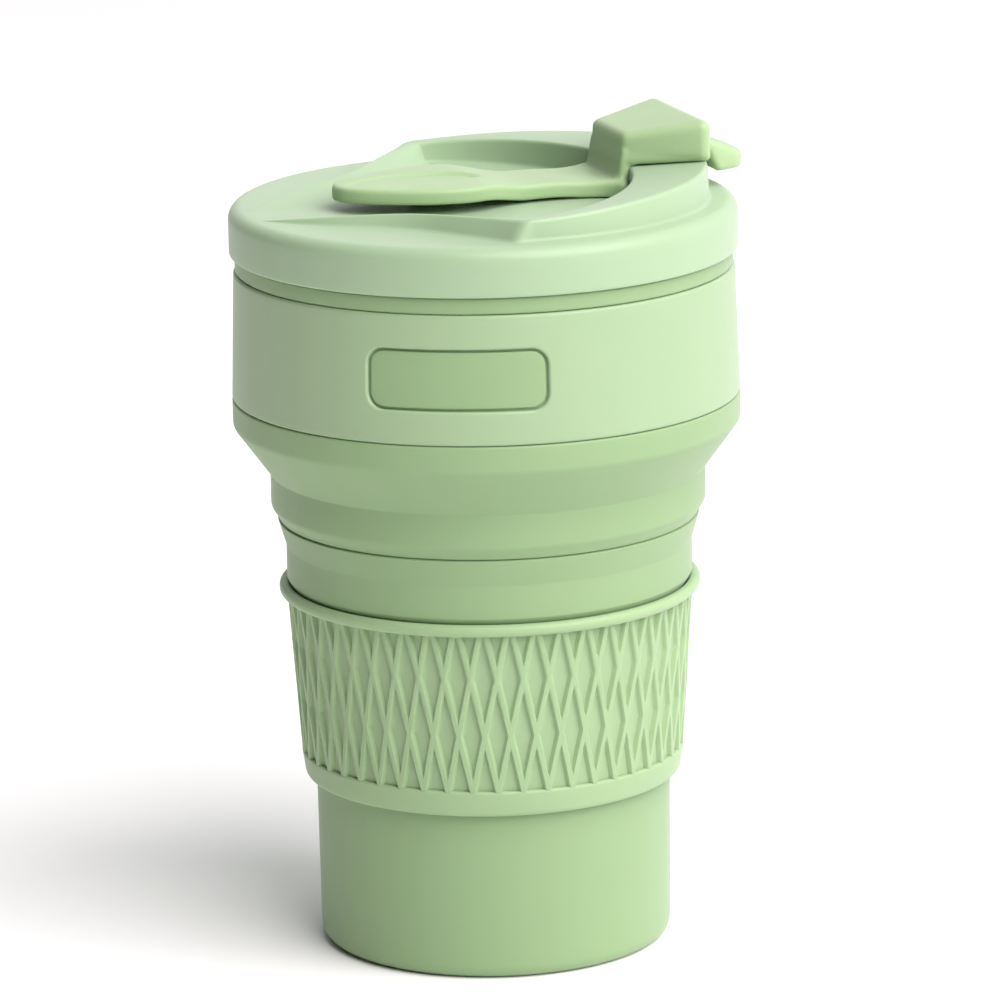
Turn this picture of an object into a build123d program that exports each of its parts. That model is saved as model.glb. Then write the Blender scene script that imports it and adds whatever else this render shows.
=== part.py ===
"""Collapsible travel cup: a folding silicone beaker with a rigid collar, a ribbed
sleeve, and a push-on lid that carries a flexible drinking stopper.

Frame: +Z up, origin on the middle of the base's underside, +X towards the
drinking spout. Millimetres. The cup stands opened out to its full height.
"""

import os
from math import cos, radians, sin, sqrt

from build123d import *

os.makedirs("parts", exist_ok=True)

# ---------------------------------------------------------------- clearances
seat_gap = 0.10  # between pieces that are pushed together and stay together
slide_gap = 0.40  # between pieces that move past each other

# ------------------------------------------------- silicone beaker, base cup
wall = 2.2  # silicone wall of every stage
fold_wall = wall - 0.5  # thinner where the lowest fold bends
base_radius = 33.2
base_height = 51.0
base_draft = 0.5  # how much wider the base cup is at its top
floor_thickness = 3.0
foot_round = 2.8
floor_round = 1.8  # inside, where the wall meets the floor

# ------------------------- stages: each one slides down outside the one below
lower_radius = base_radius + 5.0
lower_height = 11.0
lower_lift = 15.0  # free height of the fold between base cup and lower stage
band_step = 0.6  # how far the lower stage steps in behind the sleeve's mouth
middle_radius = lower_radius + 2.65
middle_height = 6.5
middle_lift = 7.5
upper_radius = middle_radius + 6.75
upper_lift = 9.3
upper_ring_height = 5.0
liner_thickness = 1.6
crease_depth = 1.2  # how far the fold below the middle stage pinches in
crease_drop = 2.3  # the crease below the middle stage
crease_step = 0.35  # the small step at the crease
crease_half_height = 0.2
shoulder_drop = 1.6  # height of the rounded edge under the upper ring
shoulder_step = 1.5

# ------------------------------------------------------ rim, collar and label
collar_height = 24.0
collar_thickness = 1.8
collar_flare = 0.8  # how much wider the collar is at its lower edge
collar_edge = 0.3  # broken edge at the collar's lower rim
rim_band_height = 3.1
rim_band_step = 0.3  # the rim band inside the collar's face
rim_lip_height = 6.4
label_azimuth = -115.0
label_width = 33.0
label_height = 11.2
label_corner = 2.3
label_groove = 0.8
label_sink = 0.4  # how far the label pad stays below the collar's face
label_root = 0.5  # how deep the label pad is rooted in the liner

# ----------------------------------------------------------------------- lid
lid_radius = upper_radius - 0.1
lid_height = 9.0
lid_thickness = 2.2
lid_edge_round = 2.5
lid_skirt = 2.2
lid_plug_depth = 8.0
lid_plug_wall = 1.8

# ------------------------------------------- raised spout rim on top of the lid
spout_radius = lid_radius - 4.8
spout_half_angle = 97.0
spout_wing_height = 4.1
spout_height = 7.6
spout_crest = -7.3  # where the rim has its wing height
spout_shell = 2.2
spout_room = 30.0  # height of the tool bodies that shape the rim
pocket_centre = -5.0
pocket_length = spout_radius - 10.7  # half the ellipse's length, along X
pocket_half_width = spout_radius - 2.7
wing_end = 3.5 - lid_radius
# a wing's outline: share of its length behind the corner, share of its half width
wing_shape = [(0, 1), (0.2, 0.59), (0.41, 0.37), (0.72, 0.23), (1, 0.1)]
wing_thickness = 3.0  # along X, between a wing's outside and the pocket

# ------------------------------------------------------------------- stopper
strap_thickness = 3.0
strap_rise = 1.4  # the strap's underside above the lid
strap_half_width = 8.0
pad_end = -29.0
pad_centre = -8.0
pad_half_width = 13.2
pad_tip_length = 4.0  # from the tip to where the pad has its tip width
pad_tip_half_width = 6.9
pad_neck = 2.0  # straight length in front of the pad
anchor_x = -10.0
anchor_radius = 3.0
anchor_boss_radius = 5.5
anchor_head = 1.2  # how much wider than its neck the anchor's head is
anchor_taper = 35  # degrees
hinge_x = 10.0
hinge_relief = 2.2  # the bending length that is left open on the pad's side
block_depth = 15.0  # along X, at the foot
block_outer_x = spout_radius - 3.2
block_inner_x = block_outer_x - block_depth
block_inner_half_width = 8.3
block_outer_half_width = 14.0
leg_flare = 0.6  # how much the block widens over the depth of its leg
block_height = 12.4
block_slope = 1.8  # how much higher the block is at its outer edge
block_round = 1.6
web_drop = 4.8  # top of the web to the tab, below the block's top
tab_end = spout_radius + 7.8
tab_half_width = 8.0
tab_corner = 5.0
tab_thickness = 2.4
tab_drop = 1.2  # the tab's top below the spout rim's top
sip_hole_x = spout_radius - 8.7
sip_hole_radius = 4.6
sip_plug_depth = 3.4
sip_plug_taper = 12.0  # degrees

# -------------------------------------------------------------------- sleeve
sleeve_height = 37.5
sleeve_wall = 1.7
sleeve_flange_height = 2.2
sleeve_flange_radius = lower_radius + 1.5
sleeve_flange_round = 0.95
sleeve_body_top_radius = lower_radius
sleeve_body_bottom_radius = lower_radius - 2.1
sleeve_band_height = 5.5
sleeve_reach = 3.7  # how far the lower stage goes down into the sleeve

# -------------------------------------------------------------- worked heights
lower_bottom = base_height + lower_lift
lower_top = lower_bottom + lower_height
middle_bottom = lower_top + middle_lift
middle_top = middle_bottom + middle_height
upper_bottom = middle_top + upper_lift
collar_bottom = upper_bottom + upper_ring_height + seat_gap
collar_top = collar_bottom + collar_height
rim_bottom = collar_top + seat_gap
rim_top = rim_bottom + rim_band_height
lip_top = rim_top + rim_lip_height
lid_bottom = rim_top + seat_gap
lid_top = lid_bottom + lid_height
lid_under = lid_top - lid_thickness

# ---------------------------------------------------------------- worked radii
base_top_radius = base_radius + base_draft
lower_inner = lower_radius - wall
middle_inner = middle_radius - wall
liner_outer = upper_radius - collar_flare - collar_thickness - seat_gap
liner_inner = liner_outer - liner_thickness
collar_inner = liner_outer + seat_gap
collar_top_radius = collar_inner + collar_thickness
collar_bottom_radius = collar_top_radius + collar_flare
rim_radius = collar_top_radius - rim_band_step
skirt_inner = lid_radius - lid_skirt
lip_outer = skirt_inner - slide_gap
lid_plug_outer = liner_inner - slide_gap
sleeve_top_z = lower_bottom + sleeve_reach
sleeve_bottom_z = sleeve_top_z - sleeve_height
band_bottom = sleeve_top_z + 1.0


def ring(points):
    """A body of revolution about the cup's axis from (radius, z) points."""
    with BuildPart(mode=Mode.PRIVATE) as body:
        with BuildSketch(Plane.XZ):
            with BuildLine():
                Polyline(*points, close=True)
            make_face()
        revolve(axis=Axis.Z)
    return body.part


def base_radius_at(height):
    return base_radius + base_draft * height / base_height


# ---------------------------------------------------- base cup (silicone foot)
with BuildPart() as base_cup:
    with BuildSketch(Plane.XZ):
        with BuildLine():
            Polyline(
                (0, 0),
                (base_radius, 0),
                (base_top_radius, base_height),
                (base_top_radius - wall, base_height),
                (base_radius - wall, floor_thickness),
                (0, floor_thickness),
                close=True,
            )
        make_face()
    revolve(axis=Axis.Z)
    foot_edge = base_cup.edges().filter_by(GeomType.CIRCLE).group_by(Axis.Z)[0]
    fillet(foot_edge, foot_round)
    inner_edge = base_cup.edges().filter_by(GeomType.CIRCLE).filter_by(
        lambda edge: abs(edge.center().Z - floor_thickness) < 0.01
    )
    fillet(inner_edge, floor_round)

# -------------------------- lower fold: thin cone between base cup and stage
throat_inner = base_top_radius + 2 * slide_gap
throat_outer = throat_inner + fold_wall
with BuildPart() as lower_fold:
    add(
        ring(
            [
                (base_top_radius - fold_wall, base_height),
                (base_top_radius, base_height),
                (throat_outer, lower_bottom),
                (throat_inner, lower_bottom),
            ]
        )
    )

# ------- lower stage: a band, and below it a throat that enters the sleeve
throat_top = sleeve_top_z - sleeve_flange_height
with BuildPart() as lower_stage:
    add(
        ring(
            [
                (throat_inner, lower_bottom),
                (throat_outer, lower_bottom),
                (throat_outer + seat_gap, throat_top),
                (lower_radius - band_step, sleeve_top_z),
                (lower_radius, band_bottom),
                (lower_radius, lower_top),
                (lower_inner, lower_top),
                (lower_inner, band_bottom),
                (throat_inner, throat_top),
            ]
        )
    )

# ----------------- middle fold: pinched crease between lower and middle stage
crease_z = middle_bottom - crease_drop
with BuildPart() as middle_fold:
    add(
        ring(
            [
                (lower_inner, lower_top),
                (lower_radius, lower_top),
                (middle_radius - crease_depth, crease_z - crease_half_height),
                (
                    middle_radius - crease_depth - crease_step,
                    crease_z + crease_half_height,
                ),
                (middle_radius, middle_bottom),
                (middle_inner, middle_bottom),
                (middle_inner - crease_depth, crease_z),
            ]
        )
    )

# --------------------------------------------------------------- middle stage
with BuildPart() as middle_stage:
    add(
        ring(
            [
                (middle_inner, middle_bottom),
                (middle_radius, middle_bottom),
                (middle_radius, middle_top),
                (middle_inner, middle_top),
            ]
        )
    )

# -------------------------- upper fold: the shoulder below the widest stage
with BuildPart() as upper_fold:
    add(
        ring(
            [
                (middle_inner, middle_top),
                (middle_radius, middle_top),
                (upper_radius - shoulder_step, upper_bottom - shoulder_drop),
                (upper_radius, upper_bottom),
                (liner_inner, upper_bottom),
            ]
        )
    )


# --------------------------------- upper stage: ring, liner, rim and lip in one
def label_plate(width, height, corner, inner, outer):
    """A rounded plate wrapped on the collar, from radius inner to outer."""
    middle_z = collar_bottom + collar_height / 2
    plate_plane = Plane(
        origin=(0, 0, middle_z),
        x_dir=(-sin(radians(label_azimuth)), cos(radians(label_azimuth)), 0),
        z_dir=(cos(radians(label_azimuth)), sin(radians(label_azimuth)), 0),
    )
    with BuildPart(mode=Mode.PRIVATE) as plate:
        with BuildSketch(plate_plane):
            RectangleRounded(width, height, corner)
        extrude(amount=upper_radius + 5)
        add(
            ring([(inner, 0), (outer, 0), (outer, lid_top), (inner, lid_top)]),
            mode=Mode.INTERSECT,
        )
    return plate.part


# a flat plate of this width covers label_width of the collar's curved face
window_width = 2 * collar_bottom_radius * sin(label_width / (2 * collar_bottom_radius))
with BuildPart() as upper_stage:
    add(
        ring(
            [
                (liner_inner, upper_bottom),
                (upper_radius, upper_bottom),
                (upper_radius, collar_bottom - seat_gap),
                (liner_outer, collar_bottom - seat_gap),
                (liner_outer, rim_bottom),
                (rim_radius, rim_bottom),
                (rim_radius, rim_top),
                (lip_outer, rim_top),
                (lip_outer, lip_top),
                (liner_inner, lip_top),
            ]
        )
    )
    add(
        label_plate(
            window_width - 2 * label_groove,
            label_height - 2 * label_groove,
            label_corner - label_groove / 2,
            liner_outer - label_root,
            collar_top_radius - label_sink + collar_flare / 2,
        )
    )

# ------------------------------------------ collar: rigid ring with the window
with BuildPart() as collar:
    with BuildSketch(Plane.XZ):
        with BuildLine():
            Polyline(
                (collar_inner, collar_bottom),
                (collar_bottom_radius, collar_bottom),
                (collar_top_radius, collar_top),
                (collar_inner, collar_top),
                close=True,
            )
        make_face()
    revolve(axis=Axis.Z)
    chamfer(collar.edges().filter_by(GeomType.CIRCLE).group_by(SortBy.RADIUS)[-1], collar_edge)
    add(
        label_plate(
            window_width, label_height, label_corner, liner_inner, lid_radius + wall
        ),
        mode=Mode.SUBTRACT,
    )


# ------------------------------------------------------------------------ lid
def spout_top(lift=0.0):
    """The rising top of the spout rim: an arc in the XZ plane, swept along Y."""
    with BuildPart(mode=Mode.PRIVATE) as wedge:
        with BuildSketch(Plane.XZ):
            with BuildLine():
                start = (wing_end, lid_top + lift)
                end = (spout_radius, lid_top + spout_height + lift)
                crest = (spout_crest, lid_top + spout_wing_height + lift)
                ThreePointArc(start, crest, end)
                Polyline(end, (end[0], 0), (start[0], 0), start)
            make_face()
        extrude(amount=lid_radius, both=True)
    return wedge.part


def spout_outline(height, inset=0.0):
    """Plan of the spout rim's outside: an arc round the front, and two wings
    that sweep back to a narrow tail."""
    radius = spout_radius - inset
    corner_x = radius * cos(radians(spout_half_angle))
    corner_y = radius * sin(radians(spout_half_angle))
    with BuildPart(mode=Mode.PRIVATE) as outline:
        with BuildSketch(Plane.XY.offset(lid_under)):
            with BuildLine():
                ThreePointArc((corner_x, -corner_y), (radius, 0), (corner_x, corner_y))
                reach = corner_x - wing_end
                wing = [
                    (corner_x - back * reach, share * corner_y)
                    for back, share in wing_shape
                ]
                Spline(*wing)
                Spline(*[(x, -y) for x, y in wing])
                Line(wing[-1], (wing[-1][0], -wing[-1][1]))
            make_face()
        extrude(amount=height)
    return outline.part


def pocket(height, widen=0.0):
    """The open hollow inside the spout rim, where the strap lies. It is as wide
    as the rim leaves it behind the corners, and half an ellipse towards the spout."""
    length = pocket_length + widen
    half_width = pocket_half_width + widen
    with BuildPart(mode=Mode.PRIVATE) as hollow:
        with BuildSketch(Plane.XY.offset(lid_under)):
            with BuildLine():
                EllipticalCenterArc(
                    (pocket_centre, 0), length, half_width, start_angle=-90, arc_size=180
                )
                Polyline(
                    (pocket_centre, half_width),
                    (-lid_radius, half_width),
                    (-lid_radius, -half_width),
                    (pocket_centre, -half_width),
                )
            make_face()
        extrude(amount=height)
        with Locations((wing_thickness, 0, 0)):
            add(spout_outline(2 * height), mode=Mode.INTERSECT)
    return hollow.part


with BuildPart() as lid:
    add(
        ring(
            [
                (0, lid_under),
                (lid_plug_outer - lid_plug_wall, lid_under),
                (lid_plug_outer - lid_plug_wall, lid_under - lid_plug_depth),
                (lid_plug_outer, lid_under - lid_plug_depth),
                (lid_plug_outer, lid_under),
                (skirt_inner, lid_under),
                (skirt_inner, lid_bottom),
                (lid_radius, lid_bottom),
                (lid_radius, lid_top),
                (0, lid_top),
            ]
        )
    )
    outer_edge = lid.edges().filter_by(GeomType.CIRCLE).group_by(Axis.Z)[-1]
    fillet(outer_edge, lid_edge_round)
    # the spout rim, open in the middle, rising towards the front
    spout_rim = (spout_outline(spout_room) & spout_top()) - pocket(spout_room)
    add(spout_rim)
    # hollow under the front of the rim, so that its wall stays even
    with BuildPart(mode=Mode.PRIVATE) as rim_core:
        add(spout_outline(spout_room, inset=spout_shell))
        add(spout_top(-spout_shell), mode=Mode.INTERSECT)
        add(pocket(spout_room, widen=spout_shell), mode=Mode.SUBTRACT)
        with Locations((pocket_centre + pocket_length / 2, 0, lid_under)):
            Box(
                2 * lid_radius,
                2 * lid_radius,
                2 * spout_room,
                align=(Align.MIN, Align.CENTER, Align.CENTER),
                mode=Mode.INTERSECT,
            )
    add(rim_core.part, mode=Mode.SUBTRACT)
    # drinking hole through the front, and the hole that holds the stopper
    with Locations((sip_hole_x, 0, lid_top)):
        Cylinder(sip_hole_radius, spout_room, mode=Mode.SUBTRACT)
    with Locations((anchor_x, 0, lid_top)):
        Cylinder(anchor_radius + seat_gap, spout_room, mode=Mode.SUBTRACT)

# -------------------------------------------------------- stopper, pad and neck
strap_bottom = lid_top + strap_rise
strap_top = strap_bottom + strap_thickness
hinge_z = (strap_bottom + strap_top) / 2
pad_front = hinge_x - hinge_relief
with BuildPart() as stopper_pad:
    with BuildSketch(Plane.XY.offset(strap_bottom)):
        with BuildLine():
            side = [
                (pad_end, 0),
                (pad_end + pad_tip_length, pad_tip_half_width),
                (pad_centre, pad_half_width),
                (pad_front - pad_neck, strap_half_width),
                (pad_front, strap_half_width),
            ]
            Spline(*side, tangents=[(0, 1), (1, 0)])
            Spline(*[(x, -y) for x, y in side], tangents=[(0, -1), (1, 0)])
            Line((pad_front, -strap_half_width), (pad_front, strap_half_width))
        make_face()
    extrude(amount=strap_thickness)
    # boss that stands on the lid, neck through it, and the head below
    with Locations((anchor_x, 0, (lid_top + seat_gap + strap_bottom) / 2)):
        Cylinder(anchor_boss_radius, strap_bottom - lid_top - seat_gap)
    neck_bottom = lid_under - seat_gap
    with Locations((anchor_x, 0, (neck_bottom + strap_bottom) / 2)):
        Cylinder(anchor_radius, strap_bottom - neck_bottom)
    with BuildSketch(Plane.XY.offset(neck_bottom)):
        with Locations((anchor_x, 0)):
            Circle(anchor_radius + anchor_head)
    extrude(amount=-2 * anchor_head, taper=anchor_taper)

# -------------------------------------- stopper, front half with block and tab
block_top = strap_bottom + block_height
rim_rest = lid_top + spout_height + slide_gap
leg_half_width = block_inner_half_width + leg_flare
pocket_wall_share = sqrt(1 - (leg_half_width / pocket_half_width) ** 2)
leg_outer_x = pocket_centre + pocket_length * pocket_wall_share - slide_gap
tab_top = rim_rest - slide_gap - tab_drop
tab_start = spout_radius + slide_gap
with BuildPart() as stopper_block:
    # the block: wider and higher at its outer edge, rounded all over the top
    with BuildSketch(Plane.XY.offset(strap_bottom)):
        with BuildLine():
            Polyline(
                (block_inner_x, -block_inner_half_width),
                (block_outer_x, -block_outer_half_width),
                (block_outer_x, block_outer_half_width),
                (block_inner_x, block_inner_half_width),
                close=True,
            )
        make_face()
    extrude(amount=block_height)
    with BuildSketch(Plane.XZ):
        with BuildLine():
            Polyline(
                (block_inner_x - 1, 0),
                (block_outer_x + 1, 0),
                (block_outer_x + 1, block_top),
                (block_inner_x - 1, block_top - block_slope),
                close=True,
            )
        make_face()
    extrude(amount=lid_radius, both=True, mode=Mode.INTERSECT)
    fillet(stopper_block.edges().filter_by(Axis.Z), block_round)
    fillet(stopper_block.faces().sort_by(Axis.Z)[-1].edges(), block_round)
    # the underside clears the spout rim; only the inner leg reaches the strap
    with Locations((leg_outer_x + lid_radius, 0, rim_rest)):
        Box(
            2 * lid_radius,
            2 * lid_radius,
            spout_room,
            align=(Align.CENTER, Align.CENTER, Align.MAX),
            mode=Mode.SUBTRACT,
        )
    # the strap's front half
    strap_start = hinge_x + slide_gap
    with Locations((strap_start, 0, hinge_z)):
        Box(
            leg_outer_x - strap_start,
            2 * strap_half_width,
            strap_thickness,
            align=(Align.MIN, Align.CENTER, Align.CENTER),
        )
    # a web down the outside of the spout rim, and the thumb tab that it carries
    web_top = block_top - web_drop
    with BuildSketch(Plane.XY.offset(web_top)):
        with Locations((block_outer_x - block_round, 0)):
            Rectangle(
                tab_start + tab_thickness - block_outer_x + block_round,
                2 * tab_half_width,
                align=(Align.MIN, Align.CENTER),
            )
    extrude(amount=rim_rest - web_top)
    with BuildSketch(Plane.XY.offset(web_top)):
        with Locations((tab_start, 0)):
            Rectangle(
                tab_thickness, 2 * tab_half_width, align=(Align.MIN, Align.CENTER)
            )
    extrude(amount=tab_top - web_top)
    with BuildSketch(Plane.XY.offset(tab_top)):
        with Locations((tab_end, 0)):
            RectangleRounded(
                2 * (tab_end - tab_start),
                2 * tab_half_width,
                tab_corner,
                align=(Align.MAX, Align.CENTER),
            )
        with Locations((tab_start, 0)):
            Rectangle(
                lid_radius, 2 * lid_radius, align=(Align.MIN, Align.CENTER), mode=Mode.INTERSECT
            )
    extrude(amount=-tab_thickness)
    # the plug that closes the drinking hole
    with BuildSketch(Plane.XY.offset(rim_rest)):
        with Locations((sip_hole_x, 0)):
            Circle(sip_hole_radius - slide_gap)
    extrude(amount=-sip_plug_depth, taper=sip_plug_taper)

# ------------------------------------------------- sleeve: grip round the stage
sleeve_mouth_radius = lower_radius - band_step + slide_gap
sleeve_throat_radius = throat_outer + slide_gap
sleeve_inner_bottom = base_radius_at(sleeve_bottom_z) + slide_gap
body_top = sleeve_top_z - sleeve_flange_height
with BuildPart() as sleeve:
    with BuildSketch(Plane.XZ):
        with BuildLine():
            Polyline(
                (sleeve_inner_bottom, sleeve_bottom_z),
                (sleeve_inner_bottom + sleeve_wall, sleeve_bottom_z),
                (sleeve_body_bottom_radius, sleeve_bottom_z + sleeve_band_height),
                (sleeve_body_top_radius, body_top),
                (sleeve_flange_radius, body_top),
                (sleeve_flange_radius, sleeve_top_z),
                (sleeve_mouth_radius, sleeve_top_z),
                (sleeve_throat_radius, body_top),
                close=True,
            )
        make_face()
    revolve(axis=Axis.Z)
    flange_edges = sleeve.edges().filter_by(GeomType.CIRCLE).group_by(SortBy.RADIUS)[-1]
    fillet(flange_edges, sleeve_flange_round)

# ------------------------------------------------------------------- written out
pieces = {
    "base_cup": base_cup,
    "lower_fold": lower_fold,
    "lower_stage": lower_stage,
    "middle_fold": middle_fold,
    "middle_stage": middle_stage,
    "upper_fold": upper_fold,
    "upper_stage": upper_stage,
    "collar": collar,
    "lid": lid,
    "stopper_pad": stopper_pad,
    "stopper_block": stopper_block,
    "sleeve": sleeve,
}
for name, piece in pieces.items():
    piece.part.label = name
    export_step(piece.part, f"parts/{name}.step")
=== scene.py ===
"""Collapsible travel cup, opened out: a folding silicone beaker with a rigid
collar, a ribbed silicone sleeve, and a push-on lid with a drinking stopper.
Every size below is in millimetres in the cup's own frame: +Z up, the origin on
the middle of the underside, +X towards the drinking spout."""

import bmesh
import bpy
import numpy as np
from mathutils import Matrix, Vector


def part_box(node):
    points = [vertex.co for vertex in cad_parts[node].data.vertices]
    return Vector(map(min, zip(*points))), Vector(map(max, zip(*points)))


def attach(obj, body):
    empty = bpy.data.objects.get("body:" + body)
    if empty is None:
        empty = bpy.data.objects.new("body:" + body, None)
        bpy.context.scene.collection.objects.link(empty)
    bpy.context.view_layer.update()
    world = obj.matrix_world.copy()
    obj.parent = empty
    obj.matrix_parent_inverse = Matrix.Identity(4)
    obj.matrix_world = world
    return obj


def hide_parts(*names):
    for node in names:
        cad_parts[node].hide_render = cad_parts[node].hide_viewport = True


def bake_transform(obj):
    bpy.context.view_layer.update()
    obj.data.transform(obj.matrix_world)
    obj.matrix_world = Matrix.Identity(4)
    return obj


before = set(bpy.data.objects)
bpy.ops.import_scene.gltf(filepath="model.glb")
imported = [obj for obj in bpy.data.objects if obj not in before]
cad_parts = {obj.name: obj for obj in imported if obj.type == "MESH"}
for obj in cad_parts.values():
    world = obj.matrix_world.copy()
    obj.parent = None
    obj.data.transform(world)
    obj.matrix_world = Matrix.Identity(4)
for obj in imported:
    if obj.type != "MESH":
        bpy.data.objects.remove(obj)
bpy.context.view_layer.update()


# ---------------------------------------------------------------- beaker: foot
# The cup that everything folds down round: one moulding of food silicone with
# the stages above it. It is poured shut at the bottom, with a soft foot edge,
# and its wall thins above where it rolls over itself when the cup collapses.
def linear(code):
    """Linear RGBA of an sRGB hex colour."""
    channels = np.array([int(code[i : i + 2], 16) for i in (1, 3, 5)]) / 255
    curve = np.where(
        channels <= 0.04045, channels / 12.92, ((channels + 0.055) / 1.055) ** 2.4
    )
    return (*curve.tolist(), 1.0)


def rounded(corners, pitch=2.0, steps=6, closed=True):
    """Section through (radius, height, corner radius) rows. A corner becomes the
    arc tangent to both of its sides: centre + the turn between the two tangent
    points; a straight side is cut into pieces no longer than the pitch."""
    rows = np.array(corners, float)
    place, radius = rows[:, :2], rows[:, 2]
    runs = []
    for i, (here, r) in enumerate(zip(place, radius)):
        if r == 0:
            runs.append(here[None])
            continue
        u = place[i - 1] - here
        v = place[(i + 1) % len(place)] - here
        u, v = u / np.hypot(*u), v / np.hypot(*v)
        half = np.arccos(np.clip(u @ v, -1, 1)) / 2
        centre = here + (u + v) / np.hypot(*(u + v)) * r / np.sin(half)
        a, b = here + u * r / np.tan(half) - centre, here + v * r / np.tan(half) - centre
        turn = np.arccos(np.clip(a @ b / r**2, -1, 1))
        t = np.linspace(0, 1, steps + 1)[:, None]
        runs.append(centre + (np.sin((1 - t) * turn) * a + np.sin(t * turn) * b) / np.sin(turn))
    knots = np.concatenate(runs)
    ends = np.roll(knots, -1, axis=0) if closed else np.append(knots[1:], knots[-1:], 0)
    pieces = []
    for start, end in zip(knots, ends):
        count = max(1, int(np.ceil(np.hypot(*(end - start)) / pitch)))
        pieces.append(start + (end - start) * np.arange(count)[:, None] / count)
    return np.concatenate(pieces)


def turned(section, angles):
    """Surface of revolution: x = radius cos angle, y = radius sin angle, z = height,
    as an array of rows along the section by columns round the axis."""
    radius, height = section[:, :1], section[:, 1:]
    return np.stack(
        [radius * np.cos(angles), radius * np.sin(angles), height + 0 * angles], axis=-1
    )


def mesh_piece(name, *grids, sharp=35.0):
    """One piece from (points, closed along, closed across) grids in millimetres:
    a quad for each cell, equal points merged, faces outwards, smooth but for
    edges sharper than the angle."""
    points, faces, base = [], [], 0
    for grid, along, across in grids:
        rows, columns = grid.shape[:2]
        index = np.arange(rows * columns).reshape(rows, columns)
        if along:
            index = np.vstack([index, index[:1]])
        if across:
            index = np.hstack([index, index[:, :1]])
        quads = [index[:-1, :-1], index[:-1, 1:], index[1:, 1:], index[1:, :-1]]
        faces.append(np.stack(quads, axis=-1).reshape(-1, 4) + base)
        points.append(grid.reshape(-1, 3))
        base += rows * columns
    mesh = bpy.data.meshes.new(name)
    mesh.from_pydata((np.concatenate(points) / 1000).tolist(), [], np.concatenate(faces).tolist())
    return finished(bpy.data.objects.new(name, mesh), sharp)


def finished(piece, sharp):
    """Doubles merged, normals out, smooth shading with sharp edges past an angle."""
    if piece.name not in bpy.context.scene.collection.objects:
        bpy.context.scene.collection.objects.link(piece)
    mesh = piece.data
    work = bmesh.new()
    work.from_mesh(mesh)
    bmesh.ops.remove_doubles(work, verts=work.verts, dist=2e-6)
    bmesh.ops.dissolve_degenerate(work, edges=work.edges, dist=1e-7)
    bmesh.ops.recalc_face_normals(work, faces=work.faces)
    work.to_mesh(mesh)
    work.free()
    mesh.polygons.foreach_set("use_smooth", np.ones(len(mesh.polygons), bool))
    mesh.set_sharp_from_angle(angle=np.radians(sharp))
    mesh.update()
    return piece


def node(tree, kind, settings=None, **links):
    """One shader node; keyword names are its inputs (an underscore for a space),
    each given a value or another node's output."""
    made = tree.nodes.new(kind)
    for key, value in (settings or {}).items():
        setattr(made, key, value)
    for key, value in links.items():
        name = key.replace("_", " ")
        socket = made.inputs[int(name[5:])] if name.startswith("input") else made.inputs[name]
        if isinstance(value, bpy.types.NodeSocket):
            tree.links.new(value, socket)
        else:
            socket.default_value = value
    return made


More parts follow.
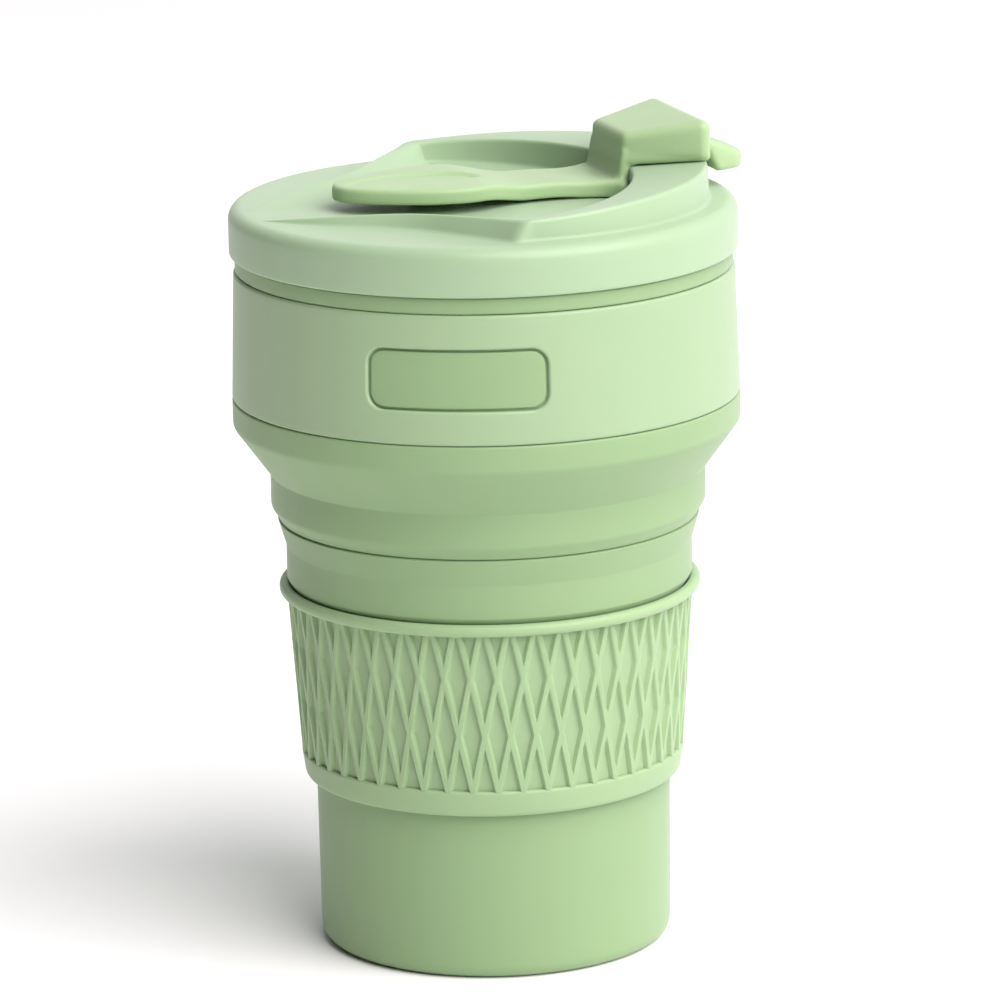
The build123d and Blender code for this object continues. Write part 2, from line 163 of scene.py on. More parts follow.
def soft_silicone(name, pale, deep, rough=0.52, glow=0.12):
    """Moulded food silicone: satin from a blasted mould, faintly cloudy colour, a
    little light let in at the edges, fine grain, and a few dust specks that cling."""
    made = bpy.data.materials.new(name)
    made.use_nodes = True
    tree = made.node_tree
    shader = tree.nodes["Principled BSDF"]
    where = node(tree, "ShaderNodeTexCoord").outputs["Object"]
    # colour clouds about 25 mm across, barely there
    cloud = node(tree, "ShaderNodeTexNoise", Vector=where, Scale=40.0, Detail=2.0)
    tint = node(tree, "ShaderNodeMix", {"data_type": "RGBA"}, Factor=cloud.outputs["Fac"])
    tint.inputs["A"].default_value = linear(deep)
    tint.inputs["B"].default_value = linear(pale)
    # clinging specks: rare cells of a 6 mm lattice hold a dot 0.2 mm across
    dots = node(
        tree,
        "ShaderNodeTexVoronoi",
        {"feature": "F1"},
        Vector=where,
        Scale=160.0,
        Randomness=1.0,
    )
    near = node(
        tree,
        "ShaderNodeMath",
        {"operation": "LESS_THAN"},
        input0=dots.outputs["Distance"],
        input1=0.03,
    )
    chance = node(tree, "ShaderNodeSeparateColor", Color=dots.outputs["Color"])
    rare = node(
        tree,
        "ShaderNodeMath",
        {"operation": "GREATER_THAN"},
        input0=chance.outputs["Red"],
        input1=0.93,
    )
    speck = node(
        tree,
        "ShaderNodeMath",
        {"operation": "MULTIPLY"},
        input0=near.outputs[0],
        input1=rare.outputs[0],
    )
    dusty = node(tree, "ShaderNodeMix", {"data_type": "RGBA"}, Factor=speck.outputs[0])
    tree.links.new(tint.outputs["Result"], dusty.inputs["A"])
    dusty.inputs["B"].default_value = linear("#ECF2E4")
    tree.links.new(dusty.outputs["Result"], shader.inputs["Base Color"])
    # blasted mould grain, 0.25 mm, drawn shallow
    grain = node(tree, "ShaderNodeTexNoise", Vector=where, Scale=4000.0, Detail=2.0)
    skin = node(tree, "ShaderNodeTexNoise", Vector=where, Scale=90.0, Detail=1.0)
    both = node(
        tree,
        "ShaderNodeMath",
        {"operation": "MULTIPLY_ADD"},
        input0=skin.outputs["Fac"],
        input1=2.0,
        input2=grain.outputs["Fac"],
    )
    bump = node(
        tree,
        "ShaderNodeBump",
        Height=both.outputs[0],
        Strength=0.25,
        Distance=0.00004,
    )
    tree.links.new(bump.outputs["Normal"], shader.inputs["Normal"])
    sheen = node(
        tree,
        "ShaderNodeMapRange",
        Value=skin.outputs["Fac"],
        From_Min=0.3,
        From_Max=0.7,
        To_Min=rough - 0.05,
        To_Max=rough + 0.05,
    )
    tree.links.new(sheen.outputs["Result"], shader.inputs["Roughness"])
    shader.inputs["IOR"].default_value = 1.41
    shader.inputs["Subsurface Weight"].default_value = glow
    shader.inputs["Subsurface Radius"].default_value = (0.8, 1.0, 0.5)
    shader.inputs["Subsurface Scale"].default_value = 0.004
    shader.inputs["Sheen Weight"].default_value = 0.15
    shader.inputs["Sheen Roughness"].default_value = 0.5
    return made


base_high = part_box("base_cup")[1]
throat_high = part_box("lower_fold")[1]
wall = 2.2
fold_wall = 1.7
floor_thickness = 3.0
base_top = base_high.z * 1000
throat_z = throat_high.z * 1000
base_radius, base_top_radius = 33.2, 33.7
throat_outer = throat_high.x * 1000
turn = np.linspace(0, 2 * np.pi, 256, endpoint=False)
beaker_silicone = soft_silicone("sage_silicone_blasted", "#8CA87B", "#87A376")
foot_section = rounded(
    [
        (0, 0, 0),
        (base_radius, 0, 2.8),
        (base_top_radius, base_top, 6),
        (throat_outer, throat_z, 0),
        (throat_outer - fold_wall, throat_z, 0),
        (base_top_radius - wall, base_top, 6),
        (base_radius - wall, floor_thickness, 1.8),
        (0, floor_thickness, 0),
    ],
    closed=False,
)
beaker_foot = mesh_piece("beaker_foot", (turned(foot_section, turn), False, True))
beaker_foot.data.materials.append(beaker_silicone)
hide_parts("base_cup", "lower_fold")
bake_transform(beaker_foot)

# -------------------------------------------------------- beaker: lower stage
# The narrow band that shows above the sleeve, the throat behind the sleeve's
# mouth, and the soft fold that rises from the band to a pinched crease.
lower_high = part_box("lower_stage")[1]
middle_low, middle_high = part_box("middle_stage")
lower_radius = lower_high.x * 1000
middle_radius = middle_high.x * 1000
lower_top = lower_high.z * 1000
middle_bottom = middle_low.z * 1000
sleeve_low, sleeve_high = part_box("sleeve")
sleeve_top = sleeve_high.z * 1000
flange_height = 2.2  # of the sleeve's rolled top, which the throat hides behind
crease_z = middle_bottom - 2.3
crease_radius = middle_radius - 1.5
lower_section = rounded(
    [
        (throat_outer, throat_z, 0),
        (throat_outer + 0.1, sleeve_top - flange_height, 1.0),
        (lower_radius - 0.6, sleeve_top, 0.5),
        (lower_radius, sleeve_top + 1, 0.5),
        (lower_radius, lower_top, 2.0),
        (crease_radius + 0.3, crease_z - 0.25, 0.12),
        (crease_radius - 0.5, crease_z, 0),
        (crease_radius - wall + 0.4, crease_z, 0),
        (lower_radius - wall, lower_top, 2.0),
        (lower_radius - wall, sleeve_top + 1, 1.0),
        (throat_outer - fold_wall, sleeve_top - flange_height, 1.0),
        (throat_outer - fold_wall, throat_z, 0),
    ],
    pitch=1.2,
)
beaker_lower = mesh_piece("beaker_lower", (turned(lower_section, turn), True, True))
beaker_lower.data.materials.append(beaker_silicone)
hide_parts("lower_stage", "middle_fold")
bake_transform(beaker_lower)

# ------------------------------------------------------- beaker: middle stage
# From the crease up: a short rounded roll, the middle band, and the shoulder
# cone that opens out to the ring under the collar.
upper_low, upper_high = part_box("upper_stage")
collar_low, collar_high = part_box("collar")
upper_radius = upper_high.x * 1000
middle_top = middle_high.z * 1000
upper_bottom = upper_low.z * 1000
collar_bottom = collar_low.z * 1000
ring_top = collar_bottom - 0.1
liner_outer = 44.9
liner_inner = 43.3
middle_section = rounded(
    [
        (crease_radius - 0.5, crease_z, 0),
        (crease_radius + 0.05, crease_z + 0.1, 0.12),
        (crease_radius + 0.5, crease_z + 1.0, 0.9),
        (middle_radius, middle_bottom + 0.2, 1.6),
        (middle_radius, middle_top, 0.7),
        (middle_radius + 0.55, middle_top + 0.75, 0.6),
        (upper_radius, upper_bottom, 1.9),
        (upper_radius, ring_top, 0.45),
        (liner_outer, ring_top, 0),
        (liner_inner, ring_top, 0),
        (liner_inner, upper_bottom, 1.5),
        (middle_radius - wall, middle_top, 1.0),
        (middle_radius - wall, middle_bottom, 1.5),
        (crease_radius - wall + 0.4, crease_z, 0),
    ],
    pitch=1.2,
)
beaker_middle = mesh_piece("beaker_middle", (turned(middle_section, turn), True, True))
beaker_middle.data.materials.append(beaker_silicone)
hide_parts("middle_stage", "upper_fold")
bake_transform(beaker_middle)

# --------------------------------------------------- beaker: liner and label
# The liner behind the collar, the rim band that shows above it and the lip that
# the lid grips. The label pad stands up from the liner into the collar's window;
# it is left blank.
collar_top = collar_high.z * 1000
rim_top = collar_top + 3.2
lip_top = upper_high.z * 1000
lip_outer = 44.9
rim_radius = 46.5
label_azimuth = np.radians(-115.5)
label_half = np.array([17.1, 5.7])
label_corner = 3.2
label_groove = 0.5
collar_top_radius, collar_bottom_radius = 46.8, 47.6
label_middle = (collar_bottom + collar_top) / 2
rim_section = rounded(
    [
        (liner_inner, ring_top, 0),
        (liner_outer, ring_top, 0),
        (liner_outer, collar_top + 0.1, 0),
        (rim_radius, collar_top + 0.1, 0.45),
        (rim_radius, rim_top, 0.45),
        (lip_outer, rim_top, 0.3),
        (lip_outer, lip_top, 0.7),
        (liner_inner, lip_top, 0.7),
    ]
)


def round_box(half, corner, grow, counts):
    """Closed outline of a rounded rectangle, grown by a distance: on each side the
    straight run in even steps, at each corner a quarter turn in even steps. Rows
    are (along, up); the first point is where the right side meets its top corner."""
    straight_x, straight_y, bend = counts
    inner = half - corner
    radius = max(corner + grow, 0.0)
    arcs, quarter = [], np.linspace(0, np.pi / 2, bend + 1)
    signs = [(1, 1, 0), (-1, 1, 1), (-1, -1, 2), (1, -1, 3)]
    for (sx, sy, k), run in zip(signs, [straight_x, straight_y] * 2):
        angle = quarter + k * np.pi / 2
        arc = inner * (sx, sy) + radius * np.stack([np.cos(angle), np.sin(angle)], -1)
        nx, ny, nk = signs[(k + 1) % 4]
        angle = nk * np.pi / 2
        after = inner * (nx, ny) + radius * np.array([np.cos(angle), np.sin(angle)])
        t = np.arange(1, run)[:, None] / run
        arcs += [arc, arc[-1] + (after - arc[-1]) * t]
    return np.concatenate(arcs)


def collar_radius_at(height):
    """Radius of the collar's outer cone at a height."""
    share = (height - collar_bottom) / (collar_top - collar_bottom)
    return collar_bottom_radius + (collar_top_radius - collar_bottom_radius) * share


def wrapped(outline, sink):
    """Lays (along, up) points on the collar's cone, sunk below its face: the angle
    is along / radius, measured from the label's middle."""
    along, up = outline[..., 0], outline[..., 1]
    angle = label_azimuth + along / collar_bottom_radius
    radius = collar_radius_at(label_middle + up) - sink
    return np.stack(
        [radius * np.cos(angle), radius * np.sin(angle), label_middle + up], axis=-1
    )


pad_half = label_half - label_groove
pad_corner = label_corner - label_groove
pad_edge = 0.3
pad_sink, groove_sink, plate_foot = 0.4, 1.0, 2.6  # below the collar's face
outline_counts = (64, 16, 8)  # steps along a long side, a short side and a corner
edge = np.linspace(0, np.pi / 2, 7)
# a plate closes the window's foot, so that the groove round the pad is shallow
plate = round_box(label_half, label_corner, 0.05, outline_counts)
pad_foot = round_box(pad_half, pad_corner, 0, outline_counts)
pad_rings = [wrapped(plate, plate_foot), wrapped(plate, groove_sink), wrapped(pad_foot, groove_sink)]
pad_rings += [
    wrapped(
        round_box(pad_half, pad_corner, pad_edge * (np.cos(t) - 1), outline_counts),
        pad_sink + pad_edge * (1 - np.sin(t)),
    )
    for t in edge
]
# the pad's face closes towards a line along its middle
pad_rim = round_box(pad_half, pad_corner, -pad_edge, outline_counts)
spine_end = pad_half[0] - pad_half[1] - 0.4
pad_spine = np.stack([np.clip(pad_rim[:, 0], -spine_end, spine_end), 0 * pad_rim[:, 0]], -1)
pad_rings += [
    wrapped(pad_rim + (pad_spine - pad_rim) * t, pad_sink) for t in np.linspace(0.1, 1, 8)
]
beaker_rim = mesh_piece(
    "beaker_rim",
    (turned(rim_section, turn), True, True),
    (np.array(pad_rings), False, True),
)
beaker_rim.data.materials.append(beaker_silicone)
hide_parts("upper_stage")
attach(beaker_rim, "upper")

# ---------------------------------------------------------------------- collar
# Rigid ring of polypropylene pressed over the liner, slightly wider at the foot,
# moulded satin, with a rounded window in front for the label.
collar_inner = 45.0
patch_half = np.array([24.0, 9.0])
side_x, side_y = outline_counts[0] + outline_counts[2], outline_counts[1] + outline_counts[2]


def square_frame(half, counts):
    """Rectangle outline with the same count and order of points as round_box: its
    corners fall at the middle of each rounded corner, even steps between them."""
    nx, ny, bend = counts
    corners = half * np.array([(1, 1), (-1, 1), (-1, -1), (1, -1)])
    sides = [
        corners[k] + (corners[(k + 1) % 4] - corners[k]) * np.arange(n)[:, None] / n
        for k, n in enumerate([nx + bend, ny + bend] * 2)
    ]
    return np.roll(np.concatenate(sides), bend // 2, axis=0)


def window_patch(inner_ring, outer_ring, rows, sink_of):
    """Rings between the window's outline and a rectangle: each point moves in a
    straight line from one to the other, close together near the window."""
    t = (np.linspace(0, 1, rows) ** 1.6)[:, None, None]
    flat = inner_ring + (outer_ring - inner_ring) * t
    return wrapped(flat, sink_of(flat))


window_edge = 0.5
mouth = round_box(label_half, label_corner, window_edge, outline_counts)
throat = round_box(label_half, label_corner, 0, outline_counts)
square = square_frame(patch_half, outline_counts)


def inner_sink(flat):
    """Depth of the collar's inner face below its outer one."""
    return collar_radius_at(label_middle + flat[..., 1]) - collar_inner


outer_patch = window_patch(mouth, square, 9, lambda flat: 0)
inner_patch = window_patch(throat, square, 6, inner_sink)
lip_rings = [
    wrapped(
        round_box(label_half, label_corner, window_edge * (1 - np.sin(t)), outline_counts),
        window_edge * (1 - np.cos(t)),
    )
    for t in edge
]
lip_rings.append(wrapped(throat, inner_sink(throat)))
patch_angle = patch_half[0] / collar_bottom_radius
patch_columns = label_azimuth + np.linspace(-patch_angle, patch_angle, side_x + 1)
rest_columns = label_azimuth + np.linspace(patch_angle, 2 * np.pi - patch_angle, 211)
patch_rows = label_middle + np.linspace(-patch_half[1], patch_half[1], side_y + 1)
low_edge = rounded(
    [
        (collar_inner, collar_bottom, 0.0),
        (collar_bottom_radius, collar_bottom, 0.5),
        (collar_radius_at(patch_rows[0]), patch_rows[0], 0),
    ],
    closed=False,
    pitch=1.0,
)
high_edge = rounded(
    [
        (collar_radius_at(patch_rows[-1]), patch_rows[-1], 0),
        (collar_top_radius, collar_top, 0.6),
        (collar_inner, collar_top, 0.0),
    ],
    closed=False,
    pitch=1.0,
)
outer_face = np.stack([collar_radius_at(patch_rows), patch_rows], -1)
inner_face = np.stack([0 * patch_rows + collar_inner, patch_rows], -1)
low_tie = np.array([(collar_inner, collar_bottom), (collar_inner, patch_rows[0])])
high_tie = np.array([(collar_inner, patch_rows[-1]), (collar_inner, collar_top)])
all_columns = np.concatenate([patch_columns, rest_columns[1:-1]])
collar = mesh_piece(
    "collar_shell",
    (turned(low_edge, all_columns), False, True),
    (turned(high_edge, all_columns), False, True),
    (turned(low_tie, all_columns), False, True),
    (turned(high_tie, all_columns), False, True),
    (turned(outer_face, rest_columns), False, False),
    (turned(inner_face, rest_columns), False, False),
    (outer_patch, False, True),
    (inner_patch, False, True),
    (np.array(lip_rings), False, True),
)


def moulded_plastic(name, pale, deep, rough, glow, grain=0.3):
    """Injection-moulded polypropylene: waxy satin, faint flow clouds, shallow
    orange-peel skin, and a little light carried inside."""
    made = bpy.data.materials.new(name)
    made.use_nodes = True
    tree = made.node_tree
    shader = tree.nodes["Principled BSDF"]
    where = node(tree, "ShaderNodeTexCoord").outputs["Object"]
    cloud = node(
        tree, "ShaderNodeTexNoise", Vector=where, Scale=30.0, Detail=2.0, Distortion=0.6
    )
    tint = node(tree, "ShaderNodeMix", {"data_type": "RGBA"}, Factor=cloud.outputs["Fac"])
    tint.inputs["A"].default_value = linear(deep)
    tint.inputs["B"].default_value = linear(pale)
    tree.links.new(tint.outputs["Result"], shader.inputs["Base Color"])
    # mould skin: 1.2 mm orange peel under a 0.3 mm texture
    peel = node(tree, "ShaderNodeTexNoise", Vector=where, Scale=800.0, Detail=3.0)
    bump = node(
        tree,
        "ShaderNodeBump",
        Height=peel.outputs["Fac"],
        Strength=grain,
        Distance=0.00003,
    )
    tree.links.new(bump.outputs["Normal"], shader.inputs["Normal"])
    sheen = node(
        tree,
        "ShaderNodeMapRange",
        Value=cloud.outputs["Fac"],
        From_Min=0.3,
        From_Max=0.7,
        To_Min=rough - 0.04,
        To_Max=rough + 0.04,
    )
    tree.links.new(sheen.outputs["Result"], shader.inputs["Roughness"])
    shader.inputs["IOR"].default_value = 1.49
    shader.inputs["Subsurface Weight"].default_value = glow
    shader.inputs["Subsurface Radius"].default_value = (0.8, 1.0, 0.6)
    shader.inputs["Subsurface Scale"].default_value = 0.004
    shader.inputs["Sheen Weight"].default_value = 0.15
    shader.inputs["Sheen Roughness"].default_value = 0.5
    return made


collar_plastic = moulded_plastic(
    "sage_polypropylene_moulded", "#98B18A", "#93AC85", 0.45, 0.1
)
collar.data.materials.append(collar_plastic)
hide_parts("collar")
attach(collar, "upper")

# ------------------------------------------------------------------------- lid
# Push-on lid, injection moulded in polypropylene: a skirt over the lip, a plug
# ring inside it, and on top a raised rim that climbs from two swept-back wings
# to the spout. The drinking hole goes through its front.
lid_radius = 47.5
lid_bottom = collar_top + 3.3
lid_top = lid_bottom + 9.0
lid_under = lid_top - 2.2
skirt_inner = lid_radius - 2.2
plug_outer, plug_wall, plug_bottom = 42.9, 1.8, lid_under - 8.0
lid_section = rounded(
    [
        (0, lid_top, 0),
        (lid_radius, lid_top, 2.5),
        (lid_radius, lid_bottom, 0.45),
        (skirt_inner, lid_bottom, 0.45),
        (skirt_inner, lid_under, 0.6),
        (plug_outer, lid_under, 0.6),
        (plug_outer, plug_bottom, 0.5),
        (plug_outer - plug_wall, plug_bottom, 0.5),
        (plug_outer - plug_wall, lid_under, 0.8),
        (0, lid_under, 0),
    ],
    closed=False,
)
spout_radius = 41.9
rim_turn = np.radians(-3.2)  # the rim against the stopper, which sits a little askew
front_half_angle = np.radians(94.9)
# the rim seen from above: one wing from its corner to its tail
wing_crest = [
    (-3.6, 41.75), (-7.2, 36.4), (-11.5, 31.1), (-18.5, 22.9), (-24.5, 18.4), (-31, 14.7), (-44, 5.3),
]  # fmt: skip
wing_foot_run = 0.65  # outward lean of a wing's outside, as a share of its height
# the rim seen from the side: x and height above the lid's top, from a tail to the spout
crest_heights = [
    (-44, 0.0), (-31, 1.75), (-24.5, 2.35), (-18.5, 2.85), (-11.5, 3.35),
    (-3.6, 3.95), (5, 4.45), (15, 5.05), (42, 6.4),
]  # fmt: skip
pocket_centre, pocket_length, pocket_half_width = -5.0, 32.0, 39.6
pocket_corner = np.array([-0.8, 39.26])


def smooth_through(points, count):
    """Even steps along the natural cubic curve through the points, found by solving
    the tridiagonal system for its second derivatives."""
    points = np.array(points, float)
    n = len(points)
    knots = np.concatenate([[0], np.cumsum(np.hypot(*np.diff(points, axis=0).T))])
    h = np.diff(knots)
    system, right = np.eye(n), np.zeros((n, 2))
    inside = np.arange(1, n - 1)
    system[inside, inside - 1] = h[:-1]
    system[inside, inside] = 2 * (h[:-1] + h[1:])
    system[inside, inside + 1] = h[1:]
    slope = np.diff(points, axis=0) / h[:, None]
    right[1:-1] = 6 * (slope[1:] - slope[:-1])
    second = np.linalg.solve(system, right)
    at = np.linspace(0, knots[-1], count)
    i = np.clip(np.searchsorted(knots, at, side="right") - 1, 0, n - 2)
    left, step = (knots[i + 1] - at)[:, None], (at - knots[i])[:, None]
    width = h[i][:, None]
    return (
        (second[i] * left**3 + second[i + 1] * step**3) / (6 * width)
        + (points[i] / width - second[i] * width / 6) * left
        + (points[i + 1] / width - second[i + 1] * width / 6) * step
    )


rise_curve = smooth_through(crest_heights, 400)


def crest_height(x):
    """Height of the rim above the lid at x, read off the curve through its points."""
    return np.interp(x, rise_curve[:, 0], rise_curve[:, 1])


def bend(before, corner, after, size, steps=5):
    """Rounded corner in space: the curve t**2, 2t(1-t), (1-t)**2 between the points
    a given distance from the corner along its two sides."""
    u = (before - corner) / np.linalg.norm(before - corner, axis=-1, keepdims=True)
    v = (after - corner) / np.linalg.norm(after - corner, axis=-1, keepdims=True)
    t = np.linspace(0, 1, steps + 1)[:, None, None]
    a, b = corner + u * size[:, None], corner + v * size[:, None]
    return (1 - t) ** 2 * a + 2 * t * (1 - t) * corner + t**2 * b


def both_sides(half):
    """A path from one tail to the other: the half path, tail first and ending on
    the X axis, and its mirror image in Y."""
    return np.concatenate([half, half[-2::-1] * (1, -1)])


def eased(path, corner_at, reach_points):
    """Rounds a path's corner: each coordinate's points near it are replaced by the
    curve t**2, 2t(1-t), (1-t)**2 through the first, corner and last of them."""
    path = path.copy()
    low, high = corner_at - reach_points, corner_at + reach_points
    t = np.linspace(0, 1, high - low + 1)[:, None]
    path[low : high + 1] = (
        (1 - t) ** 2 * path[low] + 2 * t * (1 - t) * path[corner_at] + t**2 * path[high]
    )
    return path


wing_points = 64
wing = smooth_through(wing_crest, wing_points)
along = np.concatenate([[0], np.cumsum(np.hypot(*np.diff(wing, axis=0).T))])
heading = np.gradient(wing, axis=0)
inward = np.stack([-heading[:, 1], heading[:, 0]], -1)
inward /= np.hypot(*inward.T)[:, None]
tail_share = np.clip((along[-1] - along) / 12, 0, 1)
wing_rise = np.maximum(crest_height(wing[:, 0]), 0.02)[:, None]
crest_width = (0.9 + 2.9 * np.exp(-along / 4.5))[:, None]
# the gentle inner side: from the crest to the floor in 4 mm at the corner, 8 mm behind
gentle = (4.2 + 4.3 * np.clip(along / 14, 0, 1)) * (0.35 + 0.65 * tail_share)
wing_inner = wing + inward * crest_width
wing_floor = wing + inward * gentle[:, None]
wing_foot = wing - inward * wing_foot_run * wing_rise
to_front = np.linspace(1, 0, 110)[1:]
front = spout_radius * np.stack(
    [np.cos(to_front * front_half_angle), np.sin(to_front * front_half_angle)], -1
)
inner_end = np.arccos((pocket_corner[0] - pocket_centre) / pocket_length)
front_inner = np.stack(
    [
        pocket_centre + pocket_length * np.cos(to_front * inner_end),
        pocket_half_width * np.sin(to_front * inner_end),
    ],
    -1,
)
# the crest's inner edge and the wing's inner foot run on into the pocket's wall
into = front_inner * 0.985
wing_inner[0] = (wing_inner[1] + front_inner[0]) / 2
wing_floor[0] = (wing_floor[1] + into[0]) / 2
crest = both_sides(eased(np.concatenate([wing[::-1], front]), wing_points - 1, 2))
front_foot = front * (1 + 0.3 / spout_radius)
foot = both_sides(eased(np.concatenate([wing_foot[::-1], front_foot]), wing_points - 1, 2))
brink = both_sides(np.concatenate([wing_inner[::-1], front_inner]))
floor_line = both_sides(np.concatenate([wing_floor[::-1], into]))


def spout_ribbon():
    """The raised rim as a section carried along its outline: flared foot, outer
    wall, top, inner wall and floor, every corner of the section rounded. Heights
    come from the crest curve at each point's x."""
    rise = np.maximum(crest_height(crest[:, 0]), 0.02)
    brink_rise = np.maximum(crest_height(brink[:, 0]) - 0.15, 0.015)
    back = np.concatenate([np.clip(along[::-1] / 9, 0, 1), 0 * to_front])
    back = np.concatenate([back, back[-2::-1]])
    brink_rise = np.maximum(np.minimum(brink_rise, rise * (1 - 0.12 * back)), 0.015)

    def lifted(flat, height):
        """Flat points raised to a height above the lid's top."""
        return np.concatenate([flat, (lid_top + height + 0 * flat[:, 0])[:, None]], -1)

    away = foot - crest + (crest - brink) / np.hypot(*(crest - brink).T)[:, None]
    away /= np.hypot(*away.T)[:, None]
    past = (floor_line - brink) / np.hypot(*(floor_line - brink).T)[:, None]
    outside, base = lifted(foot + away * 2.5, 0), lifted(foot, 0)
    top, edge_in = lifted(crest, rise), lifted(brink, brink_rise)
    bottom, inside = lifted(floor_line, 0), lifted(floor_line + past * 2.5, 0)
    width = np.hypot(*(crest - brink).T)
    run = np.hypot(*(floor_line - brink).T)
    slope = run + brink_rise
    rows = np.concatenate(
        [
            bend(outside, base, top, np.minimum(0.9, 0.4 * rise)),
            bend(base, top, edge_in, np.minimum(0.9, 0.42 * np.minimum(rise, width))),
            bend(top, edge_in, bottom, np.minimum(0.7 + 2 * back, 0.45 * np.minimum(slope, width))),
            bend(edge_in, bottom, inside, np.minimum(0.8 + 2 * back, 0.45 * slope)),
        ]
    )
    sunk = rows[[-1, 0]] * (1, 1, 0) + (0, 0, lid_top - 0.8)
    rows = np.concatenate([rows, sunk])
    c, s = np.cos(rim_turn), np.sin(rim_turn)
    x, y = rows[..., 0], rows[..., 1]
    return np.stack([c * x - s * y, s * x + c * y, rows[..., 2]], -1)


def capped(name, grid, across=False):
    """A tube of sections, closed along or across, with its open ends shut flat."""
    tube = mesh_piece(name, (grid, not across, across))
    work = bmesh.new()
    work.from_mesh(tube.data)
    ends = [e for e in work.edges if e.is_boundary]
    bmesh.ops.holes_fill(work, edges=ends, sides=0)
    bmesh.ops.recalc_face_normals(work, faces=work.faces)
    work.to_mesh(tube.data)
    work.free()
    return tube


def cut(piece, tool, how="DIFFERENCE"):
    """Boolean of two closed meshes, kept in the first; the tool is removed."""
    change = piece.modifiers.new("cut", "BOOLEAN")
    change.operation, change.object, change.solver = how, tool, "MANIFOLD"
    bpy.context.view_layer.update()
    graph = bpy.context.evaluated_depsgraph_get()
    piece.data = bpy.data.meshes.new_from_object(piece.evaluated_get(graph), depsgraph=graph)
    piece.data.materials.clear()
    piece.modifiers.clear()
    bpy.data.objects.remove(tool)
    return piece


def column(name, x, section):
    """Body of revolution about a line along Z at x."""
    return mesh_piece(name, (turned(section, turn[::4]) + (x, 0, 0), False, True))


def plug_tool(name, x, radius, flare, low, high):
    """Tool for a round hole: a straight bore that flares out at its upper end, so
    the hole's edge comes out rounded."""
    section = rounded(
        [
            (0, low, 0),
            (radius, low, 0),
            (radius, high, flare),
            (radius + flare + 0.05, high, 0),
            (radius + flare + 0.05, high + 6, 0),
            (0, high + 6, 0),
        ],
        closed=False,
    )
    return column(name, x, section)


lid = mesh_piece("lid_shell", (turned(lid_section, turn), False, True))
cut(lid, capped("spout_tool", spout_ribbon()), "UNION")
# hollow under the front of the rim, so that its wall stays even
rim_wall = 2.4
core_share = np.linspace(1, -1, 61)[:, None]
core_angle = core_share * np.radians(62)
core_out = (spout_radius - rim_wall) * np.hstack([np.cos(core_angle), np.sin(core_angle)])
core_in = np.hstack(
    [
        pocket_centre + (pocket_length + rim_wall) * np.cos(core_share * np.radians(66)),
        (pocket_half_width + 0.2) * np.sin(core_share * np.radians(66)),
    ]
)
core_top = lid_top + crest_height(core_out[:, 0]) - rim_wall
core = np.stack(
    [
        np.column_stack([core_out, 0 * core_top + lid_under - 1]),
        np.column_stack([core_out, core_top]),
        np.column_stack([core_in, core_top]),
        np.column_stack([core_in, 0 * core_top + lid_under - 1]),
    ]
)
cut(lid, capped("core_tool", core))
sip_x, sip_radius = 34.0, 4.6
sip_top = lid_top + float(crest_height(sip_x))
cut(lid, plug_tool("sip_tool", sip_x, sip_radius, 0.8, lid_under - 1, sip_top))
anchor_x, anchor_radius = -10.0, 3.0
cut(lid, plug_tool("anchor_tool", anchor_x, anchor_radius + 0.1, 0.3, lid_under - 1, lid_top))
finished(lid, 32.0)
lid_plastic = moulded_plastic(
    "pale_sage_polypropylene_moulded", "#9DB693", "#98B18E", 0.42, 0.15
)
lid.data.materials.append(lid_plastic)
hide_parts("lid")
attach(lid, "lid")

# --------------------------------------------------------------------- stopper
# One soft silicone moulding: a teardrop pad pegged through the lid, with a finger
# dimple; a waist that flexes; and a block with a plug under it and a thumb tab
# that reaches over the rim. Every edge is rounded by the mould.
strap_bottom = lid_top + 1.4
strap_top = strap_bottom + 3.0
# the strap seen from above: one side from the pad's tail to the block
strap_plan = [
    (-29.2, 0.0), (-28.7, 2.2), (-26.6, 5.0), (-22.0, 8.3), (-16.0, 11.2), (-9.0, 12.9),
    (-4.0, 12.5), (0.5, 10.2), (4.5, 8.3), (10.0, 7.6), (15.5, 7.7), (19.5, 8.6), (22.5, 10.3),
    (24.2, 11.3), (25.2, 10.2), (25.4, 8.5),
]  # fmt: skip


def slab(name, plan, low, high, edge_low, edge_high, steps=5):
    """Plate with rounded edges: its outline is drawn at each height, pulled inwards
    along its own normals by the quarter circle of the edge; flat faces close it."""
    way = np.roll(plan, -1, axis=0) - np.roll(plan, 1, axis=0)
    outwards = np.stack([way[:, 1], -way[:, 0]], -1) / np.hypot(*way.T)[:, None]
    t = np.linspace(0, np.pi / 2, steps + 1)
    pull = np.concatenate([edge_low * (1 - np.sin(t)), edge_high * (1 - np.cos(t))])
    level = np.concatenate(
        [low + edge_low * (1 - np.cos(t)), high - edge_high * (1 - np.sin(t))]
    )
    flat = plan - outwards * pull[:, None, None]
    height = np.broadcast_to(level[:, None, None], flat[..., :1].shape)
    return capped(name, np.concatenate([flat, height], -1), across=True)


